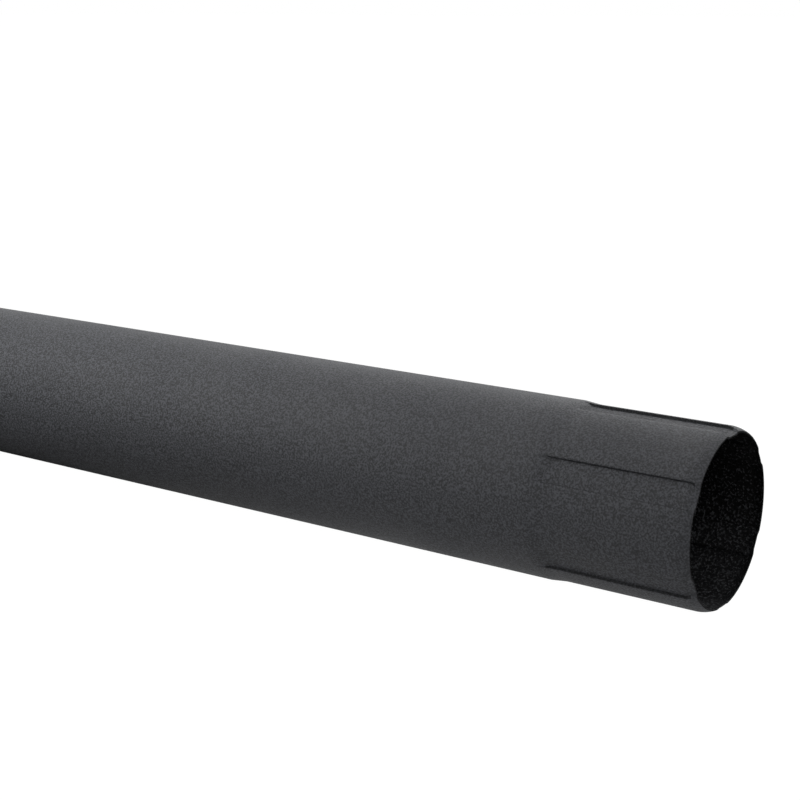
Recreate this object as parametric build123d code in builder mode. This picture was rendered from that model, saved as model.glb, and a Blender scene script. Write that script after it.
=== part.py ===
from build123d import *
import math
import os

# One length of round aluminium downpipe, coated, with a plain end and a crimped end.
# The plain end is the socket: the crimped end of the next pipe slips into it.
# The pipe lies on the floor (z = 0) along X, with the crimped end at +X and the plain end
# at -X. The origin is on the floor, under the middle of its length. Sizes are millimetres.

# The stock
outer_diameter = 80.0
wall = 0.7
length = 1000.0  # over all, with the crimped end

# The crimped end: drawn in by a wall and a little play, so that it slips into a plain end
spigot_length = 74.0  # with its shoulder
slip_clearance = 0.1  # play on the radius between a crimped end and the bore it enters
shoulder_length = 7.5  # slope from the full size down to the drawn-in size
lip_length = 6.0  # last stretch, rolled in so that it finds its way into the next pipe
lip_drop = 1.3  # how far the mouth stands in from the drawn-in skin

# The crimps: straight channels pressed into the crimped end, the first on top
crimp_count = 6
crimp_width = 11.7  # across the open side of a channel
crimp_floor_width = 11.1  # across its floor, so that its flanks are almost upright
crimp_depth = 1.25
crimp_floor_corner = 0.3  # rounding where a flank meets the floor
crimp_start = 4.2  # from the shoulder's start, so that the full bore still reaches the shoulder
crimp_run_in = 4.0  # length over which a channel comes down from the full size to its depth

# Sizes that follow from them
outer_radius = outer_diameter / 2
spigot_radius = outer_radius - wall - slip_clearance
plain_end = -length / 2
mouth = length / 2
shoulder_start = mouth - spigot_length
shoulder_end = shoulder_start + shoulder_length
lip_start = mouth - lip_length
lip_round = (lip_length**2 + lip_drop**2) / (2 * lip_drop)
run_in_end = shoulder_start + crimp_start + crimp_run_in
run_in_drop = outer_radius - spigot_radius + crimp_depth
run_in_round = (crimp_run_in**2 + run_in_drop**2) / (2 * run_in_drop)
pipe_axis = Axis((0, 0, outer_radius), (1, 0, 0))

# The upright plane through the pipe's axis: x runs along the pipe, y is the radius
long_section = Plane(origin=(0, 0, outer_radius), x_dir=(1, 0, 0), z_dir=(0, -1, 0))


def arc_angle(run, radius):
    """Degrees that an arc turns while it goes on by run in its starting direction."""
    return math.degrees(math.asin(run / radius))


def round_form(inset):
    """The turned form of the pipe without its crimps, drawn in everywhere by inset."""
    lip_radius = lip_round - inset
    with BuildPart() as form:
        with BuildSketch(long_section):
            with BuildLine():
                end = Line((plain_end, 0), (plain_end, outer_radius - inset))
                barrel = Line(end @ 1, (shoulder_start, outer_radius - inset))
                shoulder = Line(barrel @ 1, (shoulder_end, spigot_radius - inset))
                sleeve = Line(shoulder @ 1, (lip_start, spigot_radius - inset))
                lip = JernArc(sleeve @ 1, (1, 0), lip_radius, -arc_angle(lip_length, lip_radius))
                Polyline(lip @ 1, (mouth, 0), (plain_end, 0))
            make_face()
        revolve(axis=pipe_axis)
    return form.part


def crimp_channel(inset):
    """The space that the topmost crimp takes from the turned form, grown on all sides by inset."""
    floor_radius = spigot_radius - crimp_depth
    half_floor_angle = math.degrees(math.asin(crimp_floor_width / 2 / floor_radius))
    flare = (crimp_width - crimp_floor_width) / 2 / crimp_depth
    reach = 2 * crimp_depth
    half_top = crimp_floor_width / 2 + flare * reach
    with BuildPart() as channel:
        with BuildLine(long_section) as run:
            straight = Line((run_in_end, floor_radius), (lip_start, floor_radius))
            JernArc(straight @ 0, (-1, 0), run_in_round, -1.4 * arc_angle(crimp_run_in, run_in_round))
            lip_radius = lip_round - crimp_depth
            JernArc(straight @ 1, (1, 0), lip_radius, -1.4 * arc_angle(lip_length, lip_radius))
        path = run.wire()
        with BuildSketch(Plane(origin=path @ 0, x_dir=(0, 1, 0), z_dir=path % 0)):
            with BuildLine():
                right_end = 90 - half_floor_angle
                floor = CenterArc((0, -floor_radius), floor_radius, right_end, 2 * half_floor_angle)
                Polyline(floor @ 1, (-half_top, reach), (half_top, reach), floor @ 0)
            make_face()
            fillet(vertices().group_by(Axis.Y)[0], radius=crimp_floor_corner)
            if inset > 0:
                offset(amount=inset)
        sweep(path=path)
    return channel.part


def crimped_form(inset):
    """The whole form with its crimps, drawn in by inset: the skin at nought, the bore at a wall."""
    channel = crimp_channel(inset)
    with BuildPart() as form:
        add(round_form(inset))
        for number in range(crimp_count):
            add(channel.rotate(pipe_axis, number * 360 / crimp_count), mode=Mode.SUBTRACT)
    return form.part


with BuildPart() as downpipe:
    add(crimped_form(0))
    add(crimped_form(wall), mode=Mode.SUBTRACT)
downpipe.part.label = "downpipe"

os.makedirs("parts", exist_ok=True)
export_step(downpipe.part, "parts/downpipe.step")
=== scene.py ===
"""Looks of one length of coated aluminium downpipe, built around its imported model."""

import logging
import math
from dataclasses import dataclass, field
from enum import Enum

import bmesh
import bpy
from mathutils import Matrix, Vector


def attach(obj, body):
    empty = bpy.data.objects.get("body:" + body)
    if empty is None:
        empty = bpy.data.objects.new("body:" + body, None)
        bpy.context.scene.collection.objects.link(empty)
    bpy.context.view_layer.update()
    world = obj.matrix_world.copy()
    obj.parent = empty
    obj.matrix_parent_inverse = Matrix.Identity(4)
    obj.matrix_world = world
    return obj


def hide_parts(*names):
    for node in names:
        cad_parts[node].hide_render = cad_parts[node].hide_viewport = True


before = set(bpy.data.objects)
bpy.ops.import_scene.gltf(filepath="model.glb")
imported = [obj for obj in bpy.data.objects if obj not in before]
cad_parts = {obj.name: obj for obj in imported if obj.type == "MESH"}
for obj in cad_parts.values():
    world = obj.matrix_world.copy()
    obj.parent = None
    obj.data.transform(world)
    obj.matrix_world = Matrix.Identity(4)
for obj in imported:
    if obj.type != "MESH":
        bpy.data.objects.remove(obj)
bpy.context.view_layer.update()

MM = 0.001
AROUND = Vector((1.0, 0.0, 0.0))
WHITE = (1.0, 1.0, 1.0, 1.0)
Colour = tuple[float, float, float, float]
Span = tuple[float, float]
Place = tuple[float, float, float]
log = logging.getLogger("downpipe")


class Shade:
    """One output of a shader node, with arithmetic that adds Math nodes to its tree."""

    def __init__(self, sheet: "ShaderSheet", socket: bpy.types.NodeSocket) -> None:
        """Wraps a socket.

        Args:
            sheet: the node tree that the socket belongs to.
            socket: the output to wrap.
        """
        self.sheet = sheet
        self.socket = socket

    def _maths(self, operation: str, first: "Shade | float", second: "Shade | float") -> "Shade":
        """Adds one Math node.

        Args:
            operation: the node's operation.
            first: its first value.
            second: its second value.

        Returns:
            The result, wrapped.
        """
        return self.sheet.node("ShaderNodeMath", {"operation": operation}, {0: first, 1: second})

    def __add__(self, other: "Shade | float") -> "Shade":
        """Sum."""
        return self._maths("ADD", self, other)

    def __radd__(self, other: float) -> "Shade":
        """Sum, from the right."""
        return self._maths("ADD", other, self)

    def __sub__(self, other: "Shade | float") -> "Shade":
        """Difference."""
        return self._maths("SUBTRACT", self, other)

    def __rsub__(self, other: float) -> "Shade":
        """Difference, from the right."""
        return self._maths("SUBTRACT", other, self)

    def __mul__(self, other: "Shade | float") -> "Shade":
        """Product."""
        return self._maths("MULTIPLY", self, other)

    def __rmul__(self, other: float) -> "Shade":
        """Product, from the right."""
        return self._maths("MULTIPLY", other, self)

    def highest(self, other: "Shade | float") -> "Shade":
        """The larger of two values."""
        return self._maths("MAXIMUM", self, other)


class ShaderSheet:
    """The node tree of one material or world."""

    def __init__(self, owner: bpy.types.Material | bpy.types.World) -> None:
        """Empties the owner's tree.

        Args:
            owner: what the shader is for.
        """
        owner.use_nodes = True
        self.tree = owner.node_tree
        self.tree.nodes.clear()

    def node(self, kind: str, settings: dict | None = None, sockets: dict | None = None,
             output: int | str = 0) -> Shade:
        """Adds a node.

        Args:
            kind: the node's type name.
            settings: its properties, set before its sockets.
            sockets: values or links of its inputs, by name or number.
            output: which output is wrapped.

        Returns:
            The wrapped output.
        """
        made = self.tree.nodes.new(kind)
        for name, value in (settings or {}).items():
            setattr(made, name, value)
        for name, value in (sockets or {}).items():
            if isinstance(value, Shade):
                self.tree.links.new(value.socket, made.inputs[name])
            else:
                made.inputs[name].default_value = value
        return Shade(self, made.outputs[output]) if made.outputs else Shade(self, None)

    def noise(self, place: Shade, size: float, detail: float = 2.0, roughness: float = 0.5) -> Shade:
        """A noise pattern of a given size, from 0 to 1.

        Args:
            place: where on the surface.
            size: about the width of its spots, in metres.
            detail: octaves of finer noise.
            roughness: how strong the finer noise is.

        Returns:
            The noise's value.
        """
        sockets = {"Vector": place, "Scale": 1 / size, "Detail": detail, "Roughness": roughness}
        return self.node("ShaderNodeTexNoise", None, sockets)

    def spread(self, value: Shade, low: float, high: float, to_low: float, to_high: float) -> Shade:
        """Maps a value smoothly from one range to another.

        Args:
            value: what is mapped.
            low: start of its range.
            high: end of its range.
            to_low: result at the start.
            to_high: result at the end.

        Returns:
            The mapped value.
        """
        sockets = {"Value": value, "From Min": low, "From Max": high, "To Min": to_low, "To Max": to_high}
        return self.node("ShaderNodeMapRange", {"interpolation_type": "SMOOTHSTEP"}, sockets)

    def blend(self, factor: Shade, first: "Shade | Colour", second: "Shade | Colour") -> Shade:
        """Mixes two colours.

        Args:
            factor: share of the second colour.
            first: colour at 0.
            second: colour at 1.

        Returns:
            The mixed colour.
        """
        return self.node("ShaderNodeMix", {"data_type": "RGBA"}, {0: factor, 6: first, 7: second}, 2)

    def end(self, shader: Shade, kind: str = "ShaderNodeOutputMaterial") -> None:
        """Ends the tree in its output node.

        Args:
            shader: the finished shader.
            kind: the output node's type name.
        """
        self.node(kind, None, {"Surface": shader})


@dataclass(frozen=True)
class TexturedCoat:
    """The anthracite coat: satin, with the fine irregular grain of a textured powder coat.

    Its colour runs from the deep tone of the grain's pits to the pale of its tops. The rolled lip is
    rubbed smoother, and slow clouds run through the tone. A coat can also carry painted shade:
    darker along the crimped end, for the shade that a crimp's flank casts on its floor, or darker
    towards the pipe's top, for the bore's top, which gets less light.
    """

    name: str = "textured_coat"
    colour: Colour = (0.008, 0.0083, 0.0093, 1.0)
    pale: Colour = (0.094, 0.0975, 0.1088, 1.0)
    roughness: float = 0.6
    roughness_change: Span = (-0.03, 0.04)
    gloss: float = 0.35
    grain_size: float = 0.85 * MM
    grain_depth: float = 0.42 * MM
    grain_range: Span = (0.4, 0.63)
    fine_size: float = 0.3
    fine_share: float = 0.35
    cloud_size: float = 45 * MM
    cloud_range: Span = (0.3, 0.7)
    cloud_share: float = 0.15
    lip_span: Span = (494 * MM, 500 * MM)
    lip_rubbing: float = 0.3
    # Painted shade: how much darker the coat gets along the crimped end, and towards the pipe's top.
    crimp_shade: float = 0.0
    crimp_shade_span: Span = (431 * MM, 446 * MM)
    top_shade: float = 0.0
    top_shade_span: Span = (15 * MM, 70 * MM)

    def material(self) -> bpy.types.Material:
        """Makes the material.

        Returns:
            The coat.
        """
        made = bpy.data.materials.new(self.name)
        sheet = ShaderSheet(made)
        place = sheet.node("ShaderNodeTexCoord", None, None, "Object")
        along, height = (sheet.node("ShaderNodeSeparateXYZ", None, {"Vector": place}, way) for way in "XZ")
        kept = 1 - self.lip_rubbing * sheet.spread(along, *self.lip_span, 0.0, 1.0)
        grain = sheet.noise(place, self.grain_size, 2.0, 0.55)
        fine = sheet.noise(place, self.fine_size * self.grain_size, 1.0, 0.5)
        cloud = sheet.noise(place, self.cloud_size, 2.0, 0.5)
        relief = (grain + self.fine_share * fine) * kept
        bump = sheet.node("ShaderNodeBump", None,
                          {"Height": relief, "Distance": self.grain_depth, "Strength": 1.0})
        tops = sheet.spread(grain, *self.grain_range, 0.0, 1.0)
        # Painted shade in the colour: darker along the crimped end and towards the top.
        painted_shade = (sheet.spread(along, *self.crimp_shade_span, 0.0, self.crimp_shade)
                + sheet.spread(height, *self.top_shade_span, 0.0, self.top_shade))
        share = ((1 - self.cloud_share) * kept * (tops - 0.5)
                 + self.cloud_share * (cloud - 0.5) + (0.5 - painted_shade))
        colour = sheet.blend(share, self.colour, self.pale)
        satin = sheet.spread(cloud, *self.cloud_range,
                             *(self.roughness + change for change in self.roughness_change))
        shader = sheet.node("ShaderNodeBsdfPrincipled", None,
                            {"Base Color": colour, "Roughness": satin, "Specular IOR Level": self.gloss,
                             "Normal": bump})
        sheet.end(shader)
        return made


class Side(Enum):
    """The sides of the sheet, in the order of the pipe's materials."""

    SKIN = "skin"
    BORE = "bore"
    # The cut edge, a crimp's flank and the top crimp's floor get coats with painted shade.
    CUT = "cut edge"
    CREASE = "flank of a crimp"
    CHANNEL = "floor of the top crimp"

    @property
    def slot(self) -> int:
        """Number of the side's material on the pipe."""
        return list(Side).index(self)


@dataclass
class Downpipe:
    """The pipe: one thin round sheet with a plain end and a crimped end.

    Sizes are metres. The sheet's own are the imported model's, and only what the photograph shows as
    fine relief departs from them: how far the lip rolls in, how the crimps run in and fade at the
    lip, and by how many degrees each drifts from its even place. Crimps are counted from the top
    one towards the camera's side.
    """

    radius: float = 40 * MM
    wall: float = 0.7 * MM
    plain_end: float = -500 * MM
    mouth: float = 500 * MM
    shoulder_start: float = 426 * MM
    shoulder_length: float = 7.5 * MM
    drawn_in: float = 0.8 * MM
    lip_start: float = 494 * MM
    lip_drop: float = 1.5 * MM
    crimp_count: int = 6
    crimp_width: float = 11.7 * MM
    crimp_floor_width: float = 11.1 * MM
    crimp_depth: float = 1.25 * MM
    crimp_start: float = 1.0 * MM
    crimp_run_in: float = 9 * MM
    crimp_drift: tuple[float, ...] = (-0.55, 0.75, 2.65, -2.0, 0.0, 2.8)
    crimp_fade: tuple[float, ...] = (0.1, 0.1, 0.1, 0.6, 0.1, 0.25)
    bend: float = 0.15 * MM
    bend_growth: float = 0.4
    lip_flare: float = 2.8 * MM
    outer_flare: float = 0.1
    flare_length: float = 4.0 * MM
    edge_round: float = 0.12 * MM
    floor_columns: int = 4
    flank_columns: int = 8
    land_columns: int = 11
    barrel_rows: int = 24
    shoulder_rows: int = 22
    sleeve_rows: int = 10
    lip_rows: int = 14
    shoulder_margin: float = 1 * MM
    least_depth: float = 0.4
    flank_shares: Span = (0.02, 0.98)
    axis: Vector = field(default_factory=lambda: Vector((0.0, 0.0, 40 * MM)))

    def columns(self) -> int:
        """Columns of faces all the way round."""
        return 2 * self.crimp_count * (self.floor_columns + self.flank_columns + self.land_columns)

    def stations(self) -> list[tuple[float, int]]:
        """The stretches of the sheet from its plain end on.

        Returns:
            For each stretch, where it ends and how many rows of faces it has.
        """
        shoulder_end = self.shoulder_start + self.shoulder_length
        return [(self.shoulder_start - self.shoulder_margin, self.barrel_rows),
                (shoulder_end + self.shoulder_margin, self.shoulder_rows),
                (self.lip_start, self.sleeve_rows),
                (self.mouth, self.lip_rows)]

    def round_radius(self, x: float) -> float:
        """Radius of the skin between the crimps.

        Args:
            x: place along the pipe.

        Returns:
            The radius there.
        """
        down = min(1.0, max(0.0, (x - self.shoulder_start) / self.shoulder_length))
        radius = self.radius - self.drawn_in * down
        past = max(0.0, x - self.lip_start)
        lip = self.mouth - self.lip_start
        turn = (lip**2 + self.lip_drop**2) / (2 * self.lip_drop)
        return radius - (turn - math.sqrt(turn**2 - past**2))

    def depth(self, x: float, number: int) -> float:
        """How deep a crimp lies below the round.

        Args:
            x: place along the pipe.
            number: which crimp.

        Returns:
            The channel's depth there.
        """
        run_in = smooth((x - self.shoulder_start - self.crimp_start) / self.crimp_run_in)
        at_mouth = smooth(1 - (self.mouth - x) / (self.mouth - self.lip_start))
        return self.crimp_depth * run_in * (1 - self.crimp_fade[number % self.crimp_count] * at_mouth)

    def drift(self, number: int) -> float:
        """How far a crimp stands off its even place, in radians."""
        return math.radians(self.crimp_drift[number % self.crimp_count])

    def nearest(self, turn: float) -> int:
        """Number of the crimp nearest to an angle, from the one on top."""
        return round(turn * self.crimp_count / (2 * math.pi))

    def slid(self, turn: float, x: float, inset: float) -> tuple[float, float]:
        """Where a column stands once the crimps have drawn the columns to their flanks.

        Args:
            turn: the column's place in even steps, in radians from the top.
            x: place along the pipe.
            inset: how far the surface lies inside the skin.

        Returns:
            The column's new angle, and how much of the crimp's depth it takes.
        """
        pitch = 2 * math.pi / self.crimp_count
        number = self.nearest(turn)
        steps = (turn - number * pitch) / (2 * math.pi) * self.columns()
        gauge = self.radius - self.drawn_in
        flare = self.lip_flare * smooth(1 - (self.mouth - x) / self.flare_length)
        middle = (self.crimp_width + self.crimp_floor_width) / 4 + inset
        reach = self.bend + self.bend_growth * inset
        floor_edge = (middle - reach - flare) / gauge
        open_edge = (middle + reach + self.outer_flare * flare) / gauge
        way = math.copysign(1, steps)
        drift = self.drift(number)
        halfway = pitch / 2 + way * (self.drift(number + int(way)) - drift) / 2
        marks = [(0, 0.0), (self.floor_columns, floor_edge),
                 (self.floor_columns + self.flank_columns, open_edge),
                 (self.columns() / self.crimp_count / 2, halfway)]
        offset = follow(marks, abs(steps))
        share = 1 - smooth((offset - floor_edge) / (open_edge - floor_edge))
        return number * pitch + drift + way * offset, share

    def section(self, bm: bmesh.types.BMesh) -> list[bmesh.types.BMVert]:
        """Draws the sheet's section on top: along the skin, over the cut edge and back along the bore.

        Args:
            bm: the mesh that it is drawn in.

        Returns:
            Its vertices, joined to a ring.
        """
        line = [bm.verts.new((self.plain_end, 0.0, self.axis.z + self.radius))]

        def go(along: float, inwards: float, rows: int) -> None:
            for _ in range(rows):
                added = bmesh.ops.extrude_vert_indiv(bm, verts=[line[-1]])["verts"][0]
                added.co += Vector((along / rows, 0.0, -inwards / rows))
                line.append(added)

        reached = self.plain_end
        stretches = []
        for stop, rows in self.stations():
            stretches.append((stop - reached, rows))
            reached = stop
        for run, rows in stretches:
            go(run, 0.0, rows)
        go(0.0, self.wall, 1)
        for run, rows in reversed(stretches):
            go(-run, 0.0, rows)
        bmesh.ops.contextual_create(bm, geom=[line[-1], line[0]])
        return line

    def inset(self, vert: bmesh.types.BMVert) -> float:
        """How far a vertex of the plain round lies inside the skin."""
        return self.radius - math.hypot(vert.co.y, vert.co.z - self.axis.z)

    def turn(self, place: Vector) -> float:
        """Angle of a place from the top towards the camera's side, in radians."""
        return math.atan2(-place.y, place.z - self.axis.z)

    def press(self, vert: bmesh.types.BMVert) -> None:
        """Moves one vertex of the plain round to its place on the formed sheet.

        Args:
            vert: the vertex.
        """
        inset = self.inset(vert)
        x, turn = vert.co.x, self.turn(vert.co)
        angle, share = self.slid(turn, x, inset)
        radius = self.round_radius(x) - share * self.depth(x, self.nearest(turn)) - inset
        vert.co = (x, -radius * math.sin(angle), self.axis.z + radius * math.cos(angle))

    def side(self, face: bmesh.types.BMFace) -> Side:
        """Which side of the sheet a face of the plain round belongs to.

        Args:
            face: the face.

        Returns:
            Its side.
        """
        depths = [self.inset(vert) for vert in face.verts]
        if min(depths) > self.wall / 2:
            return Side.BORE
        if max(depths) > self.wall / 2:
            return Side.CUT
        middle = face.calc_center_median()
        pressed = self.depth(middle.x, 0) > self.least_depth * self.crimp_depth
        if not pressed or middle.x > self.mouth - self.flare_length / 2:
            return Side.SKIN
        shares = [self.slid(self.turn(vert.co), vert.co.x, 0.0)[1] for vert in face.verts]
        share = sum(shares) / len(shares)
        open_share, floor_share = self.flank_shares
        if open_share < share < floor_share:
            return Side.CREASE
        # The top crimp's floor gets a coat with painted shade, the shade that its flank casts.
        on_top = self.nearest(self.turn(middle)) == 0
        return Side.CHANNEL if share >= floor_share and on_top else Side.SKIN

    def build(self) -> bpy.types.Object:
        """Makes the sheet with both its sides and its two cut edges.

        Returns:
            The pipe.
        """
        bm = bmesh.new()
        line = self.section(bm)
        edges = list(dict.fromkeys(edge for vert in line for edge in vert.link_edges))
        bmesh.ops.spin(bm, geom=line + edges, cent=self.axis, axis=AROUND, dvec=Vector(),
                       angle=2 * math.pi, steps=self.columns(), use_merge=True)
        bmesh.ops.recalc_face_normals(bm, faces=bm.faces)
        for face in bm.faces:
            face.material_index = self.side(face).slot
        rims = [edge for edge in bm.edges
                if sum(face.material_index == Side.CUT.slot for face in edge.link_faces) == 1]
        for vert in bm.verts:
            self.press(vert)
        bmesh.ops.bevel(bm, geom=rims, offset=self.edge_round, offset_type="OFFSET", segments=2,
                        profile=0.5, affect="EDGES", clamp_overlap=True, material=-1)
        for face in bm.faces:
            face.smooth = True
        log.info("sheet of %.1f mm3, closed: %s", bm.calc_volume(signed=True) / MM**3,
                 all(edge.is_manifold for edge in bm.edges))
        mesh = bpy.data.meshes.new("crimped_pipe")
        bm.to_mesh(mesh)
        bm.free()
        pipe = bpy.data.objects.new("crimped_pipe", mesh)
        bpy.context.scene.collection.objects.link(pipe)
        return pipe

    def dress(self, pipe: bpy.types.Object) -> None:
        """Gives the pipe its coat.

        Args:
            pipe: the pipe's object.
        """
        coats = {Side.SKIN: TexturedCoat(),
                 # The bore's coat is darker towards the top: painted shade.
                 Side.BORE: TexturedCoat(name="bore_coat", colour=(0.0, 0.0, 0.0, 1.0),
                                         pale=(0.15, 0.153, 0.163, 1.0), roughness=0.6, gloss=0.15,
                                         grain_size=1.1 * MM, grain_range=(0.5, 0.66), top_shade=0.5),
                 # The cut edge's near-black coat is painted shade.
                 Side.CUT: TexturedCoat(name="cut_edge_shade_coat", colour=(0.006, 0.006, 0.007, 1.0),
                                        pale=(0.01, 0.01, 0.011, 1.0), roughness=0.75, gloss=0.1),
                 # The flanks' darker coat is painted shade in the crimps' creases.
                 Side.CREASE: TexturedCoat(name="crease_shade_coat", colour=(0.008, 0.0083, 0.009, 1.0),
                                           pale=(0.045, 0.046, 0.05, 1.0), roughness=0.7, gloss=0.2),
                 # Painted shade on the top crimp's floor: darker along the crimped end, and less gloss.
                 Side.CHANNEL: TexturedCoat(name="channel_shade_coat", gloss=0.17, crimp_shade=0.03)}
        for side in Side:
            pipe.data.materials.append(coats[side].material())


def smooth(share: float) -> float:
    """Eases a share from 0 to 1 with no corner at either end."""
    held = min(1.0, max(0.0, share))
    return held * held * (3 - 2 * held)


def follow(marks: list[tuple[float, float]], place: float) -> float:
    """Reads a value off straight stretches between marks.

    Args:
        marks: places and values, in rising order.
        place: where to read.

    Returns:
        The value there.
    """
    for (start, low), (stop, high) in zip(marks, marks[1:]):
        if place <= stop:
            return low + (high - low) * (place - start) / (stop - start)
    return marks[-1][1]


@dataclass(frozen=True)
class SoftLamp:
    """A far lamp that fills a round patch of the sky.

    Angles are degrees: the heading is counted from the pipe's back, +Y, towards its mouth, +X.
    """

    name: str
    strength: float
    width: float
    heading: float
    height: float

    def hang(self) -> None:
        """Puts the lamp into the scene, shining at the origin."""
        lamp = bpy.data.lights.new(self.name, "SUN")
        lamp.energy = self.strength
        lamp.angle = math.radians(self.width)
        held = bpy.data.objects.new(self.name, lamp)
        held.rotation_euler = (math.radians(self.height - 90), 0.0, math.radians(-self.heading))
        bpy.context.scene.collection.objects.link(held)


@dataclass(frozen=True)
class NearLamp:
    """A square panel close to the pipe, hidden from the camera. Sizes are metres."""

    name: str
    power: float
    width: float
    place: Place
    aim: Place

    def hang(self) -> None:
        """Puts the panel into the scene, facing what it aims at."""
        lamp = bpy.data.lights.new(self.name, "AREA")
        lamp.energy = self.power
        lamp.size = self.width
        held = bpy.data.objects.new(self.name, lamp)
        held.location = self.place
        held.rotation_euler = (Vector(self.aim) - Vector(self.place)).to_track_quat("-Z", "Y").to_euler()
        held.visible_camera = False
        bpy.context.scene.collection.objects.link(held)


@dataclass(frozen=True)
class PhotoCamera:
    """The camera as solved from the photograph.

    Angles are degrees: how far it stands round from the pipe's side, and how far it looks down.
    """

    focal_pixels: float = 1567.4
    picture_pixels: float = 800.0
    sensor_width: float = 36.0
    round_angle: float = 34.9
    down_angle: float = 14.155
    place: Place = (0.7406, -0.5817, 0.2465)

    def set_up(self) -> None:
        """Puts the camera into the scene and looks through it."""
        data = bpy.data.cameras.new("camera")
        data.sensor_width = self.sensor_width
        data.lens = self.sensor_width * self.focal_pixels / self.picture_pixels
        camera = bpy.data.objects.new("camera", data)
        bpy.context.scene.collection.objects.link(camera)
        azimuth, down = math.radians(self.round_angle), math.radians(self.down_angle)
        level = math.cos(down)
        forward = Vector((-math.sin(azimuth) * level, math.cos(azimuth) * level, -math.sin(down)))
        camera.rotation_mode = "QUATERNION"
        camera.rotation_quaternion = forward.to_track_quat("-Z", "Y")
        camera.location = self.place
        bpy.context.scene.camera = camera


@dataclass(frozen=True)
class Studio:
    """A plain white floor and world, and the soft lamps.

    The floor throws less light up under the pipe's plain stretch, where its paint is grey, and its
    white shows in the coat's gloss mostly along the crimped end. Spans are places along the pipe.
    """

    floor_width: float = 60.0
    floor_colour: Colour = (0.86, 0.86, 0.86, 1.0)
    grey_colour: Colour = (0.25, 0.25, 0.25, 1.0)
    grey_span: Span = (0.2, 0.5)
    shown_white: float = 0.9
    glow: float = 1.11
    mirrored_white: float = 0.55
    mirror_span: Span = (0.07, 0.38)
    past_mouth: float = 0.25
    mouth_span: Span = (0.48, 0.56)
    ambient: float = 0.04
    ambient_colour: Colour = (0.97, 0.99, 1.04, 1.0)
    lamps: tuple[SoftLamp | NearLamp, ...] = (
        SoftLamp("back_panel", 0.78, 70.0, 0.0, 32.0),
        SoftLamp("left_panel", 0.34, 60.0, -90.0, 45.0),
        SoftLamp("front_panel", 0.15, 60.0, -135.0, 30.0),
        SoftLamp("right_panel", 0.75, 40.0, 90.0, 25.0),
        NearLamp("near_panel", 1.1, 0.3, (0.07, -0.28, 0.32), (0.07, 0.0, 0.04)),
        NearLamp("near_back_panel", 0.2, 0.3, (0.34, 0.28, 0.3), (0.32, 0.0, 0.04)))

    def background(self, sheet: ShaderSheet, shown: float, mirrored: "Shade | float") -> Shade:
        """How much of the white background is shown: to the camera, and in gloss and glass.

        Args:
            sheet: the node tree that asks.
            shown: the share that the camera sees.
            mirrored: the share that gloss and glass show.

        Returns:
            The share for the ray at hand.
        """
        seen, gloss, glass = (sheet.node("ShaderNodeLightPath", None, None, name)
                              for name in ("Is Camera Ray", "Is Glossy Ray", "Is Transmission Ray"))
        return (seen * shown).highest(gloss.highest(glass) * mirrored)

    def lay_floor(self) -> None:
        """Lays the floor, white to the camera.

        Most of what the camera sees is its white, and the rest is the lit paint, which takes the
        pipe's shadow. Together they make up a full white.
        """
        bm = bmesh.new()
        bmesh.ops.create_grid(bm, x_segments=1, y_segments=1, size=self.floor_width / 2)
        mesh = bpy.data.meshes.new("floor")
        bm.to_mesh(mesh)
        bm.free()
        floor = bpy.data.objects.new("floor", mesh)
        bpy.context.scene.collection.objects.link(floor)
        made = bpy.data.materials.new("white_floor")
        sheet = ShaderSheet(made)
        pale = sheet.node("ShaderNodeBsdfDiffuse", None, {"Color": self.floor_colour})
        grey = sheet.node("ShaderNodeBsdfDiffuse", None, {"Color": self.grey_colour})
        white = sheet.node("ShaderNodeEmission", None, {"Color": WHITE, "Strength": self.glow})
        place = sheet.node("ShaderNodeTexCoord", None, None, "Object")
        along = sheet.node("ShaderNodeSeparateXYZ", None, {"Vector": place}, "X")
        greyness = sheet.spread(along, *self.grey_span, 1.0, 0.0)
        paint = sheet.node("ShaderNodeMixShader", None, {0: greyness, 1: pale, 2: grey})
        mirrored = (sheet.spread(along, *self.mirror_span, 0.0, self.mirrored_white)
                    * sheet.spread(along, *self.mouth_span, 1.0, self.past_mouth))
        share = self.background(sheet, self.shown_white, mirrored)
        sheet.end(sheet.node("ShaderNodeMixShader", None, {0: share, 1: paint, 2: white}))
        mesh.materials.append(made)

    def light(self) -> None:
        """Sets the world and hangs the soft lamps."""
        world = bpy.data.worlds.new("studio")
        bpy.context.scene.world = world
        sheet = ShaderSheet(world)
        dim = sheet.node("ShaderNodeBackground", None,
                         {"Color": self.ambient_colour, "Strength": self.ambient})
        white = sheet.node("ShaderNodeBackground", None, {"Color": WHITE, "Strength": 1.0})
        share = self.background(sheet, 1.0, 1.0)
        mixed = sheet.node("ShaderNodeMixShader", None, {0: share, 1: dim, 2: white})
        sheet.end(mixed, "ShaderNodeOutputWorld")
        for lamp in self.lamps:
            lamp.hang()


def main() -> None:
    """Builds and dresses the pipe, and sets the stage."""
    logging.basicConfig(level=logging.INFO)
    bpy.context.scene.view_settings.view_transform = "Standard"
    downpipe = Downpipe()
    pipe = downpipe.build()
    downpipe.dress(pipe)
    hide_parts("downpipe")
    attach(pipe, "root")
    log.info("%s: %d faces", pipe.name, len(pipe.data.polygons))
    studio = Studio()
    studio.lay_floor()
    studio.light()
    PhotoCamera().set_up()


if __name__ == "__main__":
    main()
